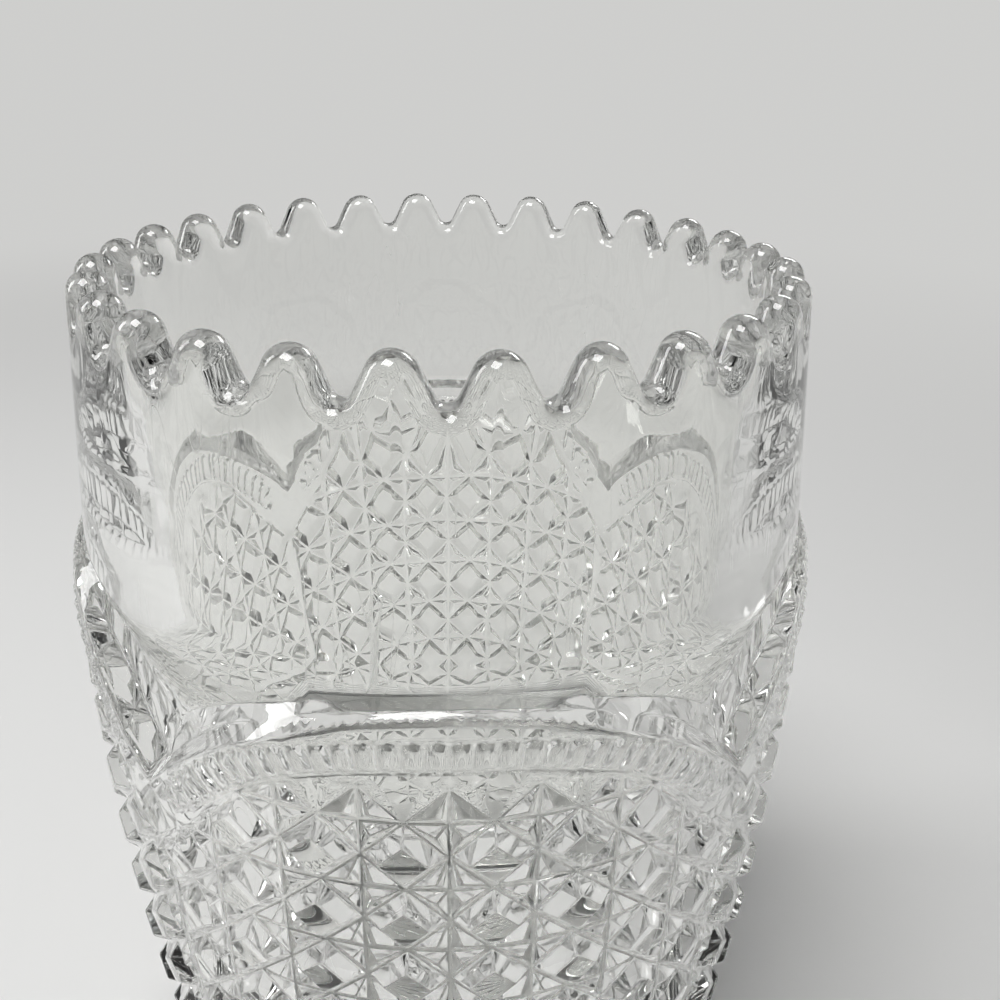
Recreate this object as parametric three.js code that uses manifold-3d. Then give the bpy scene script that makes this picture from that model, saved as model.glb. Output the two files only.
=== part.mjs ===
// Pressed glass vase: a thick round wall with a hobnail and star pattern, four arched panels
// with ribbed borders, a plain collar that swells and tucks in, and a rim of rounded teeth.
// Millimetres, +Z up, origin at the centre of the ring that the vase stands on.
// Azimuth 0 is the front (-Y) and grows towards +X.
import * as THREE from "three";
import { mergeVertices } from "three/addons/utils/BufferGeometryUtils.js";
import Module from "manifold-3d";

const wasm = await Module();
wasm.setup();

// Driving dimensions of the whole vase
const vaseHeight = 200;
const grooveRadius = 67.9; // the bottom of the pattern's grooves, at the height of the arches
const widestRadius = 66.6; // the collar where it swells most, just above the arches
const waistRadius = 62.3; // the collar where it tucks in between two arches
const rimRadius = 59.2; // the middle of the wall at the tooth tips
const rimWall = 6.4;
const boreFloorRadius = 54.5;
const boreShoulderRadius = 55.8;
const floorThickness = 16;
const floorFillet = 12;
const widestRow = 2.3; // where the collar swells most and tucks in most, in rows of the pattern
const waistRow = 0.95;

// The pattern, in columns round the vase and rows up it
const panelCount = 4;
const columnsPerPanel = 8;
const rowCount = 8;
const rowPitch = 13.3;
const patternBottom = 25;
const taperStart = 115; // below this height the wall draws in towards the foot
const taperRate = 0.00081; // millimetres of radius for each square millimetre of depth
const buttonHeight = 2.3;
const buttonTop = 0.275; // half the flat top's diagonal, in columns
const starHeight = 1.25;

// The seams between the zones, in rows, and the row up to which the pattern is laid out
const hobnailSeamRow = -1.5;
const patternTopRow = 1.5;
const archSeamRow = 2.5;
const rimSeamDepth = 2; // below the lowest point of the rim's bead

// The arched borders: height above the middle of the top row, in rows
const creaseTop = 2.11;
const creaseDrop = 1.52;
const creasePower = 2;
const crestTop = 2;
const crestDrop = 2.13;
const crestPower = 2.55;
const ribTop = 1.72;
const ribFoot = 1.29;
const ribDrop = 2.2;
const ribPower = 2.6;
const fieldTop = 0.98;
const fieldDrop = 2.08;
const fieldPower = 2.15;
const bandDip = 0.28; // how far the band reaches down past the field's curve between two diamonds
const bandPeak = 0.1; // how far the field's diamonds reach up past that curve
const bandEdgeHeight = -0.1; // just under the grooves, so that the edge follows the diamonds
const bandRoot = 2; // how deep the band is rooted in the wall below the pattern
const borderHeight = 1.8;
const borderFootHeight = 1.3;
const cornerHeight = 1.3;
const cornerPower = 4; // how suddenly the border gets lower near the corner
const ribsPerPanel = 27;
const ribPitch = 0.25; // columns from one rib to the next
const ribGrooveWidth = 1.5;
const ribGrooveDepth = 1.1;
const borderParts = 2; // facets of a border for each column of the pattern

// The rim's teeth
const toothCount = 28;
const toothHeight = 6.8;
const toothTopRadius = 3.8;
const toothValleyRadius = 1.5;
const beadDepth = 2.9; // how far the rounding of the edge reaches into the tooth

// The foot
const footRadius = 57;
const footWaistRadius = 54.5;
const footWaistHeight = 13;
const footEdgeHeight = 5;
const footEdgeThickness = 3;
const standRingOuter = 55;
const standRingInner = 46;
const recessDepth = 2;
const rayCount = 16;
const rayLength = 41;
const rayDepth = 1.6;
const rayStart = 0.08; // where a ray begins and is widest, as shares of its length
const rayWidest = 0.55;

// How far the solids that are only cut away reach past the glass
const cutMargin = 6;

// Heights and angles that follow from them
const columnCount = panelCount * columnsPerPanel;
const halfPanel = columnsPerPanel / 2;
const columnAngle = (2 * Math.PI) / columnCount;
const topRowHeight = patternBottom + (rowCount - 0.5) * rowPitch;
const widestHeight = topRowHeight + widestRow * rowPitch;
const waistHeight = topRowHeight + waistRow * rowPitch;
const rimSeam = vaseHeight - toothHeight - beadDepth - rimSeamDepth;
const archSeam = topRowHeight + archSeamRow * rowPitch;
const hobnailSeam = topRowHeight + hobnailSeamRow * rowPitch;
const rimOuterRadius = rimRadius + rimWall / 2;
const rimInnerRadius = rimRadius - rimWall / 2;
const coreRadius = boreFloorRadius - cutMargin; // inside of the zones before the bore is cut

// A value that runs evenly from a to b while t runs from 0 to 1.
const mix = (a, b, t) => a + (b - a) * t;

// The point at an azimuth in radians, a radius and a height.
const onRing = (azimuth, radius, height) =>
  new THREE.Vector3(radius * Math.sin(azimuth), -radius * Math.cos(azimuth), height);

// Outside of the plain collar: a straight flare from the rim down to the widest ring, and below
// it half a cosine wave in to the waist.
function collarRadius(height) {
  const up = (height - widestHeight) / (vaseHeight - widestHeight);
  if (up >= 0) return mix(widestRadius, rimOuterRadius, up);
  const t = Math.min(1, (widestHeight - height) / (widestHeight - waistHeight));
  return mix(widestRadius, waistRadius, (1 - Math.cos(Math.PI * t)) / 2);
}

// Inside of the vase: drawn in a little towards the floor so that the plunger comes out.
function boreRadius(height) {
  if (height > archSeam) {
    return mix(boreShoulderRadius, rimInnerRadius, (height - archSeam) / (vaseHeight - archSeam));
  }
  const filletTop = floorThickness + floorFillet;
  return mix(boreFloorRadius, boreShoulderRadius, (height - filletTop) / (archSeam - filletTop));
}

// Radius of the pattern's grooves: straight at the top, drawn in towards the foot.
function grooveRing(height) {
  const depth = Math.max(0, taperStart - height);
  return grooveRadius - taperRate * depth * depth;
}

const rowHeight = (row) => topRowHeight + row * rowPitch;

// A point of the pattern at a column and a row, standing a height proud of the grooves.
function patternPoint(column, row, proud) {
  const height = rowHeight(row);
  return onRing(column * columnAngle, grooveRing(height) + proud, height);
}

// Facets gathered as loose triangles, each seen anticlockwise from outside the glass.
class Facets {
  constructor() {
    this.corners = [];
  }
  triangle(a, b, c) {
    this.corners.push(a, b, c);
  }
  quad(a, b, c, d) {
    this.triangle(a, b, c);
    this.triangle(a, c, d);
  }
  geometry() {
    return new THREE.BufferGeometry().setFromPoints(this.corners);
  }
}

// A closed ring whose sections are closed loops of points, one for each azimuth: up the outside,
// over the top, down the inside and back along the bottom.
function ringOfSections(sections) {
  const facets = new Facets();
  sections.forEach((here, i) => {
    const next = sections[(i + 1) % sections.length];
    here.forEach((point, j) => {
      const above = (j + 1) % here.length;
      facets.quad(point, next[j], next[above], here[above]);
    });
  });
  return facets.geometry();
}

// A closed surface as a solid that can be joined and cut, turned right side out.
function solidOf(geometry) {
  const bare = geometry.clone();
  bare.deleteAttribute("normal");
  bare.deleteAttribute("uv");
  const merged = mergeVertices(bare, 1e-4);
  const triVerts = new Uint32Array(merged.index.array);
  const vertProperties = merged.attributes.position.array;
  const solid = new wasm.Manifold(new wasm.Mesh({ numProp: 3, vertProperties, triVerts }));
  if (solid.volume() > 0) return solid;
  return new wasm.Manifold(
    new wasm.Mesh({ numProp: 3, vertProperties, triVerts: triVerts.reverse() }),
  );
}

// A solid as a geometry again, with the vertices that lie on a level seam set exactly on it, so
// that the flat faces of two neighbouring zones are one and the same plane.
function geometryOf(solid, seams) {
  const mesh = solid.getMesh();
  const positions = new Float32Array(mesh.numVert * 3);
  for (let i = 0; i < mesh.numVert; i++) {
    positions.set(mesh.vertProperties.subarray(i * mesh.numProp, i * mesh.numProp + 3), i * 3);
    const seam = seams.find((level) => Math.abs(positions[i * 3 + 2] - level) < 1e-3);
    if (seam !== undefined) positions[i * 3 + 2] = seam;
  }
  return new THREE.BufferGeometry()
    .setAttribute("position", new THREE.BufferAttribute(positions, 3))
    .setIndex(new THREE.BufferAttribute(mesh.triVerts, 1));
}

// A closed profile of [radius, height] points turned about the vertical axis.
function turned(profile, segments) {
  const points = profile.map(([radius, height]) => new THREE.Vector2(radius, height));
  const leavesAxis = profile[0][0] > 0 || profile.at(-1)[0] > 0;
  if (leavesAxis) points.push(points[0].clone());
  return new THREE.LatheGeometry(points, segments).rotateX(Math.PI / 2);
}

// The lines of an arched border, each as its row above a column. Across is the distance from the
// middle of the panel over half the panel's width, from 0 to 1.
const creaseRow = (across) => creaseTop - creaseDrop * across ** creasePower;
const crestRow = (across) => crestTop - crestDrop * across ** crestPower;
const ribTopRow = (across) => ribTop - ribDrop * across ** ribPower;
const ribFootRow = (across) => ribFoot - ribDrop * across ** ribPower;
const fieldRow = (across) =>
  fieldTop - fieldDrop * Math.sin((Math.PI / 2) * across ** fieldPower) ** 2;

// The height of the border above the grooves, which passes into one height at the corner.
const borderLift = (height, across) => mix(height, cornerHeight, across ** cornerPower);

// How far a column lies from the middle of its own panel, from 0 there to 1 at the corner.
function acrossPanel(column) {
  const fromMiddle = column - columnsPerPanel * Math.round(column / columnsPerPanel);
  return Math.abs(fromMiddle) / halfPanel;
}

// A diamond belongs to the field if its middle lies below the field's curve.
const inField = (column, row) => row < fieldRow(acrossPanel(column));

// The highest row of the form a whole number plus an offset that lies below the field's curve.
const highestBelowCurve = (column, offset) =>
  Math.ceil(fieldRow(acrossPanel(column)) - offset) - 1 + offset;

// The highest corner of the field's diamonds at a column or half column: either the top of the
// diamond that stands there, or a side corner of one of its two neighbours.
function zigzagRow(column) {
  const own = Number.isInteger(column) ? 0.5 : 0;
  const top = highestBelowCurve(column, own) + 0.5;
  const left = highestBelowCurve(column - 0.5, 0.5 - own);
  const right = highestBelowCurve(column + 0.5, 0.5 - own);
  return Math.max(top, left, right);
}

// The lower edge of the smooth band: the zigzag, held close to the field's curve.
function bandRow(column) {
  const curve = fieldRow(acrossPanel(column));
  return Math.min(Math.max(zigzagRow(column), curve - bandDip), curve + bandPeak);
}

// A polished button: a four-sided block with a flat diamond top, its corners on four stars.
// Outside the field its place stays plain, under the border.
function addButton(facets, column, row) {
  const corners = [];
  const tops = [];
  for (const [across, up] of [[0, -1], [1, 0], [0, 1], [-1, 0]]) {
    corners.push(patternPoint(column + across / 2, row + up / 2, 0));
    tops.push(patternPoint(column + across * buttonTop, row + up * buttonTop, buttonHeight));
  }
  if (!inField(column, row)) {
    facets.quad(...corners);
    return;
  }
  corners.forEach((corner, i) => {
    const next = (i + 1) % corners.length;
    facets.quad(corner, corners[next], tops[next], tops[i]);
  });
  facets.quad(...tops);
}

// A crossed diamond: one upright and one level groove part it into four small pyramids. The
// quarters are numbered anticlockwise from the right upper one.
function addCrossedDiamond(facets, column, row, quarters) {
  const centre = patternPoint(column, row, 0);
  const directions = [[1, 0], [0, 1], [-1, 0], [0, -1]];
  for (const quarter of quarters) {
    const [ax, ay] = directions[quarter];
    const [bx, by] = directions[(quarter + 1) % directions.length];
    const a = patternPoint(column + ax / 2, row + ay / 2, 0);
    const b = patternPoint(column + bx / 2, row + by / 2, 0);
    const apex = patternPoint(column + (ax + bx) / 6, row + (ay + by) / 6, starHeight);
    if (inField(column, row)) {
      facets.triangle(centre, a, apex);
      facets.triangle(a, b, apex);
      facets.triangle(b, centre, apex);
    } else {
      facets.triangle(centre, a, b);
    }
  }
}

// A ring of the pattern between two level grooves, closed inside at a radius given by a function
// of the height. Both ends lie half a row above or below a row of buttons.
function patternRing(lowRow, highRow, insideRadius) {
  const facets = new Facets();
  for (let i = 0; i < columnCount; i++) {
    for (let row = lowRow + 0.5; row < highRow; row++) addButton(facets, i + 0.5, row);
    for (let row = lowRow + 1; row < highRow; row++) addCrossedDiamond(facets, i, row, [0, 1, 2, 3]);
    addCrossedDiamond(facets, i, lowRow, [0, 1]);
    addCrossedDiamond(facets, i, highRow, [2, 3]);
  }
  const low = rowHeight(lowRow);
  const high = rowHeight(highRow);
  for (let i = 0; i < 2 * columnCount; i++) {
    const here = i / 2;
    const next = (i + 1) / 2;
    const inside = (column, height) => onRing(column * columnAngle, insideRadius(height), height);
    facets.quad(
      patternPoint(here, highRow, 0),
      patternPoint(next, highRow, 0),
      inside(next, high),
      inside(here, high),
    );
    facets.quad(
      patternPoint(next, lowRow, 0),
      patternPoint(here, lowRow, 0),
      inside(here, low),
      inside(next, low),
    );
    facets.quad(inside(next, low), inside(here, low), inside(here, high), inside(next, high));
  }
  return facets.geometry();
}

// The border of the four panels with the collar's lower end. From below: a slope up from the
// field, a band that the ribs are cut in, a plain strip up to a crest, and a bevel in to the collar.
function borderRing() {
  const sections = [];
  for (let i = 0; i < columnCount * borderParts; i++) {
    const column = i / borderParts;
    const across = acrossPanel(column);
    const azimuth = column * columnAngle;
    const at = (row, proud) => onRing(azimuth, grooveRadius + proud, rowHeight(row));
    const collarAt = (height) => onRing(azimuth, collarRadius(height), height);
    const crease = rowHeight(creaseRow(across));
    const edge = bandRow(column);
    sections.push([
      onRing(azimuth, coreRadius, rowHeight(edge) - bandRoot),
      at(edge - bandRoot / rowPitch, -bandRoot),
      at(edge, bandEdgeHeight),
      at(ribFootRow(across), borderLift(borderFootHeight, across)),
      at(ribTopRow(across), borderLift(borderHeight, across)),
      at(crestRow(across), borderLift(borderHeight, across)),
      collarAt(crease),
      collarAt((crease + widestHeight) / 2),
      collarAt(archSeam),
      onRing(azimuth, coreRadius, archSeam),
    ]);
  }
  return ringOfSections(sections);
}

// Everything above the tops of the ribs, out past the pattern: the plain wall that carries the
// border stops here, inside the border, so that it doesn't stand out of the collar's waist.
function aboveRibs() {
  const outside = grooveRadius + cutMargin;
  const inside = coreRadius - cutMargin;
  const top = archSeam + cutMargin;
  const sections = [];
  for (let i = 0; i < columnCount * borderParts; i++) {
    const column = i / borderParts;
    const azimuth = column * columnAngle;
    const edge = rowHeight(ribTopRow(acrossPanel(column)));
    sections.push([
      onRing(azimuth, inside, edge),
      onRing(azimuth, outside, edge),
      onRing(azimuth, outside, top),
      onRing(azimuth, inside, top),
    ]);
  }
  return ringOfSections(sections);
}

// One groove between two ribs: a V that runs across the band and stays between its two lines.
function ribGroove(column) {
  const across = acrossPanel(column);
  const halfAngle = ribGrooveWidth / 2 / grooveRadius;
  const aside = halfAngle / columnAngle / halfPanel;
  const low = ribFootRow(Math.max(0, across - aside));
  const high = ribTopRow(across + aside);
  const azimuth = column * columnAngle;
  const face = borderLift(borderHeight, across);
  const pastFace = 1;
  const outer = grooveRadius + face + pastFace;
  const inner = grooveRadius + face - ribGrooveDepth;
  const wide = halfAngle * (1 + pastFace / ribGrooveDepth);
  const facets = new Facets();
  const lowLeft = onRing(azimuth - wide, outer, rowHeight(low));
  const lowRight = onRing(azimuth + wide, outer, rowHeight(low));
  const highLeft = onRing(azimuth - wide, outer, rowHeight(high));
  const highRight = onRing(azimuth + wide, outer, rowHeight(high));
  const lowDeep = onRing(azimuth, inner, rowHeight(low));
  const highDeep = onRing(azimuth, inner, rowHeight(high));
  facets.quad(lowLeft, lowRight, highRight, highLeft);
  facets.quad(lowLeft, highLeft, highDeep, lowDeep);
  facets.quad(lowRight, lowDeep, highDeep, highRight);
  facets.triangle(lowLeft, lowDeep, lowRight);
  facets.triangle(highLeft, highRight, highDeep);
  return solidOf(facets.geometry());
}

// The inside of the vase between two heights below and above its shoulder, as a solid.
function boreSolid(low, high) {
  const profile = [
    [0, low],
    [boreRadius(low), low],
    [boreShoulderRadius, archSeam],
    [boreRadius(high), high],
    [0, high],
  ];
  return solidOf(turned(profile, 2 * columnCount));
}

// The upper wall: the top rows of the pattern, the arched borders with their ribs, and the tuck
// of the collar between them, with the bore cut through.
function archedWall() {
  const pattern = solidOf(patternRing(hobnailSeamRow, patternTopRow, () => coreRadius));
  let wall = pattern.subtract(solidOf(aboveRibs())).add(solidOf(borderRing()));
  const grooves = [];
  for (let panel = 0; panel < panelCount; panel++) {
    for (let i = 0; i <= ribsPerPanel; i++) {
      grooves.push(ribGroove(panel * columnsPerPanel + ribPitch * (i - ribsPerPanel / 2)));
    }
  }
  wall = wall.subtract(grooves.reduce((all, groove) => all.add(groove)));
  wall = wall.subtract(boreSolid(hobnailSeam - cutMargin, archSeam + cutMargin));
  return geometryOf(wall, [hobnailSeam, archSeam]);
}

// The lower wall: nothing but pattern, from the plain band of the foot up to the arched wall.
const hobnailWall = () => patternRing(0.5 - rowCount, hobnailSeamRow, boreRadius);

// The plain part of the collar, whose inside and outside are both straight.
function clearCollar() {
  const profile = [
    [boreRadius(archSeam), archSeam],
    [collarRadius(archSeam), archSeam],
    [collarRadius(rimSeam), rimSeam],
    [boreRadius(rimSeam), rimSeam],
  ];
  return turned(profile, 2 * columnCount);
}

// The outline of one tooth, from valley to valley, unrolled at the rim's middle radius: a round
// top, straight flanks and small round valleys that all run into each other. Each point has its
// place along the rim, its height and the direction that points out of the glass.
function toothOutline() {
  const halfPitch = (Math.PI * rimRadius) / toothCount;
  const rise = toothHeight - toothTopRadius - toothValleyRadius;
  const centreLine = Math.atan2(rise, halfPitch);
  const reach = Math.hypot(rise, halfPitch);
  const flank = centreLine + Math.asin((toothTopRadius + toothValleyRadius) / reach);
  const topSteps = 2;
  const valleySteps = 1;
  const half = [];
  for (let i = 0; i <= valleySteps; i++) {
    const angle = (flank * i) / valleySteps;
    half.push({
      along: -halfPitch + toothValleyRadius * Math.sin(angle),
      height: vaseHeight - toothHeight + toothValleyRadius * (1 - Math.cos(angle)),
      side: -Math.sin(angle),
      up: Math.cos(angle),
    });
  }
  for (let i = topSteps; i >= 0; i--) {
    const angle = (flank * i) / topSteps;
    half.push({
      along: -toothTopRadius * Math.sin(angle),
      height: vaseHeight - toothTopRadius * (1 - Math.cos(angle)),
      side: -Math.sin(angle),
      up: Math.cos(angle),
    });
  }
  const mirrored = half.slice(1, -1).reverse().map((p) => ({ ...p, along: -p.along, side: -p.side }));
  return [...half, ...mirrored];
}

// The toothed edge: the outline of the teeth carried across the wall over a round bead, and the
// plain wall below it down to the seam.
function toothedRim() {
  const beadSteps = 4;
  const sections = [];
  const outline = toothOutline();
  for (let tooth = 0; tooth < toothCount; tooth++) {
    for (const point of outline) {
      const section = [];
      const place = (turn) => {
        const inward = beadDepth * (1 - Math.sin(turn));
        const height = point.height - inward * point.up;
        const along = point.along - inward * point.side;
        const azimuth = ((tooth + 0.5) * 2 * Math.PI) / toothCount + along / rimRadius;
        const share = (1 + Math.cos(turn)) / 2;
        return { azimuth, height, radius: mix(boreRadius(height), collarRadius(height), share) };
      };
      const face = place(0);
      section.push(onRing(face.azimuth, collarRadius(rimSeam), rimSeam));
      for (let i = 0; i <= beadSteps; i++) {
        const { azimuth, height, radius } = place((Math.PI * i) / beadSteps);
        section.push(onRing(azimuth, radius, height));
      }
      section.push(onRing(face.azimuth, boreRadius(rimSeam), rimSeam));
      sections.push(section);
    }
  }
  return ringOfSections(sections);
}

// One ray of the star pressed into the underside: a long kite, deepest across its widest place.
function footRay(azimuth) {
  const halfWidth = (Math.PI * rayLength) / rayCount / 2;
  const widest = rayLength * rayWidest;
  const below = recessDepth - rayDepth / 2;
  const onRay = (along, aside, height) =>
    onRing(azimuth + Math.atan2(aside, along), Math.hypot(along, aside), height);
  const inner = onRay(rayLength * rayStart, 0, below);
  const outer = onRay(rayLength, 0, below);
  const left = onRay(widest, -halfWidth, below);
  const right = onRay(widest, halfWidth, below);
  const deepest = onRay(widest, 0, recessDepth + rayDepth);
  const facets = new Facets();
  facets.quad(inner, left, outer, right);
  for (const [a, b] of [[inner, left], [left, outer], [outer, right], [right, inner]]) {
    facets.triangle(b, a, deepest);
  }
  return solidOf(facets.geometry());
}

// The thick bottom of the vase: the plain band below the pattern draws in to a waist and runs out
// to the foot. It stands on a flat ring round a recess with a many-rayed star.
function foot() {
  const bandSteps = 2;
  const filletSteps = 2;
  const topRadius = grooveRing(patternBottom);
  const profile = [[0, recessDepth], [standRingInner - recessDepth, recessDepth]];
  profile.push([standRingInner, 0], [standRingOuter, 0]);
  profile.push([footRadius, footEdgeHeight - footEdgeThickness], [footRadius, footEdgeHeight]);
  for (let i = 0; i <= bandSteps; i++) {
    const t = i / bandSteps;
    const bulge = Math.sin((Math.PI / 2) * t);
    profile.push([mix(footWaistRadius, topRadius, bulge), mix(footWaistHeight, patternBottom, t)]);
  }
  profile.push([boreRadius(patternBottom), patternBottom]);
  for (let i = 1; i <= filletSteps; i++) {
    const turn = (Math.PI / 2) * (i / filletSteps);
    const height = floorThickness + floorFillet * (1 - Math.sin(turn));
    const radius = boreFloorRadius - floorFillet * (1 - Math.cos(turn));
    profile.push([radius, height]);
  }
  profile.push([0, floorThickness]);
  let solid = solidOf(turned(profile, 2 * columnCount));
  for (let i = 0; i < rayCount; i++) {
    solid = solid.subtract(footRay((i * 2 * Math.PI) / rayCount));
  }
  return geometryOf(solid, [patternBottom, 0]);
}

// Clear, slightly warm grey pressed glass, polished by the fire. Each zone has its own material.
function clearGlass() {
  return new THREE.MeshStandardMaterial({
    color: 0xe4e8e4,
    roughness: 0.06,
    metalness: 0,
    transparent: true,
    opacity: 0.4,
  });
}

const zones = {
  foot,
  hobnail_wall: hobnailWall,
  arched_wall: archedWall,
  clear_collar: clearCollar,
  toothed_rim: toothedRim,
};

const vase = new THREE.Group();
for (const [name, make] of Object.entries(zones)) {
  const mesh = new THREE.Mesh(make(), clearGlass());
  mesh.name = name;
  vase.add(mesh);
}

export default vase;
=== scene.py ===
# %% [markdown]
# # A pressed glass vase
# The real vase is one piece of clear glass, pressed in a mould and polished in the fire. Outside
# it has rows of polished buttons between small crossed diamonds, four arched panels with a ribbed
# border, a plain collar and a rim of rounded teeth. Inside it is smooth. Because the light passes
# through both sides of the wall, the whole vase has to be one closed surface: where two pieces
# of glass only touched, each joint would show as a line. So this lesson makes a single mesh from
# two functions, one for the outside and one for the inside, and joins them at the rim and foot.

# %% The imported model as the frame
import math

import bpy
import numpy as np
from mathutils import Matrix, Vector
from mathutils.geometry import delaunay_2d_cdt


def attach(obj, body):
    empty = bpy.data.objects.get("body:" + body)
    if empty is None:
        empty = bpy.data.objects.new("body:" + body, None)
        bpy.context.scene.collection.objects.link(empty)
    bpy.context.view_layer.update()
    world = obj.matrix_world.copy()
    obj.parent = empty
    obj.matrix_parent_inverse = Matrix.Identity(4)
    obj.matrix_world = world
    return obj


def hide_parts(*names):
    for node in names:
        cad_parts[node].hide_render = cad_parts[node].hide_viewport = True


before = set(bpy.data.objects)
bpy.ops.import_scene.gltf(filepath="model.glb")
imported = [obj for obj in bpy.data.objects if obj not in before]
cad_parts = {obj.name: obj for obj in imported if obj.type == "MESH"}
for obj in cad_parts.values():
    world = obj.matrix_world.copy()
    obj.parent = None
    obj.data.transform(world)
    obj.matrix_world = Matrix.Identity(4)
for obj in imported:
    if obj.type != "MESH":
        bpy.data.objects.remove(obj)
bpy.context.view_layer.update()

print("zones of the packed model:", sorted(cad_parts))

# %% [markdown]
# ## Sizes
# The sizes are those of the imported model, in millimetres. Places on the outside are given by a
# column u and a row v, as on a mould maker's drawing: there are 32 columns round the vase, eight
# to a panel, and a row is as tall as a column is wide. A panel's middle is u = 0 and its corner
# u = 4. Only one half panel is worked out, and the rest are copies, every other one mirrored.

# %% Driving sizes
VASE_HEIGHT = 200.0
GROOVE_RADIUS = 67.9
WIDEST_RADIUS = 66.6
WAIST_RADIUS = 62.3
RIM_RADIUS = 59.2
RIM_WALL = 6.4
BORE_FLOOR_RADIUS = 54.5
BORE_SHOULDER_RADIUS = 55.8
FLOOR_THICKNESS = 16.0
FLOOR_FILLET = 12.0
PANELS = 4
HALF_PANEL = 4
ROWS = 8
ROW_PITCH = 13.3
PATTERN_BOTTOM = 25.0
TAPER_START = 115.0
TAPER_RATE = 0.00081
BUTTON_HEIGHT = 2.3
BUTTON_TOP = 0.275
STAR_HEIGHT = 1.25
FOOT_WAIST_RADIUS = 54.5
FOOT_WAIST_HEIGHT = 13.0
WAIST_ROW, WIDEST_ROW, SHOULDER_ROW = 0.95, 2.3, 2.5
MAP_MARGIN = 0.4

COLUMN_ANGLE = math.pi / (PANELS * HALF_PANEL)
TOP_ROW_HEIGHT = PATTERN_BOTTOM + (ROWS - 0.5) * ROW_PITCH
BOTTOM_ROW = 0.5 - ROWS
MAP_BOTTOM = BOTTOM_ROW - MAP_MARGIN


def row_height(row):
    """Height in millimetres of a row: the top row's height, plus the row times the pitch."""
    return TOP_ROW_HEIGHT + row * ROW_PITCH


WAIST_HEIGHT, WIDEST_HEIGHT = row_height(WAIST_ROW), row_height(WIDEST_ROW)
SHOULDER_HEIGHT = row_height(SHOULDER_ROW)
print("top row of buttons at", TOP_ROW_HEIGHT, "mm")

# %% [markdown]
# ## Rounding by formula
# Fire polishing leaves no sharp edge on glass. A bevel modifier would struggle where eight grooves
# meet in a point, so the functions themselves are rounded: a soft minimum of two slopes is a ridge
# with a small round top, a soft maximum is a groove with a round bottom, and beside that narrow
# band the facets stay perfectly flat.

# %% Soft edges
def soft_min(a, b, width):
    """The lower of a and b, less a parabola where they differ by less than width."""
    near = np.clip(1 - np.abs(a - b) / width, 0, None)
    return np.minimum(a, b) - near * near * width / 4


def soft_max(a, b, width):
    """The higher of a and b, plus a parabola where they differ by less than width."""
    return -soft_min(-a, -b, width)


def soft_ridge(a, b, width):
    """The soft minimum of two heights over a groove, which never takes more than half of the
    lower one, so that it stays at zero where the two grooves meet."""
    lower = np.minimum(a, b)
    near = np.clip(1 - np.abs(a - b) / width, 0, None)
    return lower - np.minimum(near * near * width / 4, lower / 2)


def rounded(distance, radius):
    """Distance from a line, less half the radius, with a parabola near the line: a V groove
    whose bottom is round and stays at zero."""
    bottom = distance * distance / (2 * radius)
    return np.where(distance < radius, bottom, distance - radius / 2)


def mix(a, b, t):
    """The value that runs evenly from a to b while t runs from 0 to 1."""
    return a + (b - a) * t


print("two slopes 1 mm high meet at", float(soft_min(1, 1, 0.2)), "mm after rounding")

# %% [markdown]
# ## The plain forms
# Three curves of height give the plain forms. The grooves of the pattern lie on a cylinder that
# draws in towards the foot. The collar flares down from the rim to a swelling and tucks in to
# a waist between the arches. The bore is drawn in a little towards the floor, so that the
# plunger that pressed the vase could be pulled out.

# %% Radii of the plain forms
def groove_ring(height):
    """The groove radius, less a parabola of the depth below the start of the taper."""
    depth = np.clip(TAPER_START - height, 0, None)
    return GROOVE_RADIUS - TAPER_RATE * depth**2


def collar_radius(height):
    """A straight flare above the widest ring, and half a cosine wave in to the waist below it."""
    up = (height - WIDEST_HEIGHT) / (VASE_HEIGHT - WIDEST_HEIGHT)
    flare = mix(WIDEST_RADIUS, RIM_RADIUS + RIM_WALL / 2, up)
    t = np.clip((WIDEST_HEIGHT - height) / (WIDEST_HEIGHT - WAIST_HEIGHT), 0, 1)
    tuck = mix(WIDEST_RADIUS, WAIST_RADIUS, (1 - np.cos(np.pi * t)) / 2)
    return np.where(height >= WIDEST_HEIGHT, flare, tuck)


def bore_radius(height):
    """Two straight tapers that meet at the shoulder."""
    top = (height - SHOULDER_HEIGHT) / (VASE_HEIGHT - SHOULDER_HEIGHT)
    upper = mix(BORE_SHOULDER_RADIUS, RIM_RADIUS - RIM_WALL / 2, top)
    start = FLOOR_THICKNESS + FLOOR_FILLET
    below = (height - start) / (SHOULDER_HEIGHT - start)
    lower = mix(BORE_FLOOR_RADIUS, BORE_SHOULDER_RADIUS, below)
    return np.where(height > SHOULDER_HEIGHT, upper, lower)


def foot_band_radius(height):
    """The plain band under the pattern: a quarter sine wave in to the waist of the foot."""
    t = (height - FOOT_WAIST_HEIGHT) / (PATTERN_BOTTOM - FOOT_WAIST_HEIGHT)
    bulge = np.sin(np.pi / 2 * np.clip(t, 0, 1))
    return mix(FOOT_WAIST_RADIUS, groove_ring(PATTERN_BOTTOM), bulge)


print("collar at its waist", float(collar_radius(WAIST_HEIGHT)), "mm")

# %% [markdown]
# ## Buttons and crossed diamonds
# The mould was cut with two sets of slanting grooves. They leave diamonds, and every other
# diamond is a polished button: a steep block with a flat top. The diamonds between them are cut
# once more, upright and level, into four low pyramids. Each facet is a plane that rises from its
# groove, so the height is the smallest of the distances to the grooves round it, times a slope,
# and a button is cut off flat at its top.

# %% Height of the pattern
GROOVE_ROUNDING = 0.028
RIDGE_ROUNDING = 0.035
TOP_ROUNDING = 0.30
BUTTON_SLOPE = BUTTON_HEIGHT / ((0.5 - BUTTON_TOP) / math.sqrt(2) - GROOVE_ROUNDING / 2)
STAR_SLOPE = STAR_HEIGHT / ((1 - math.sqrt(0.5)) / 2 - GROOVE_ROUNDING / 2)


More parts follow.
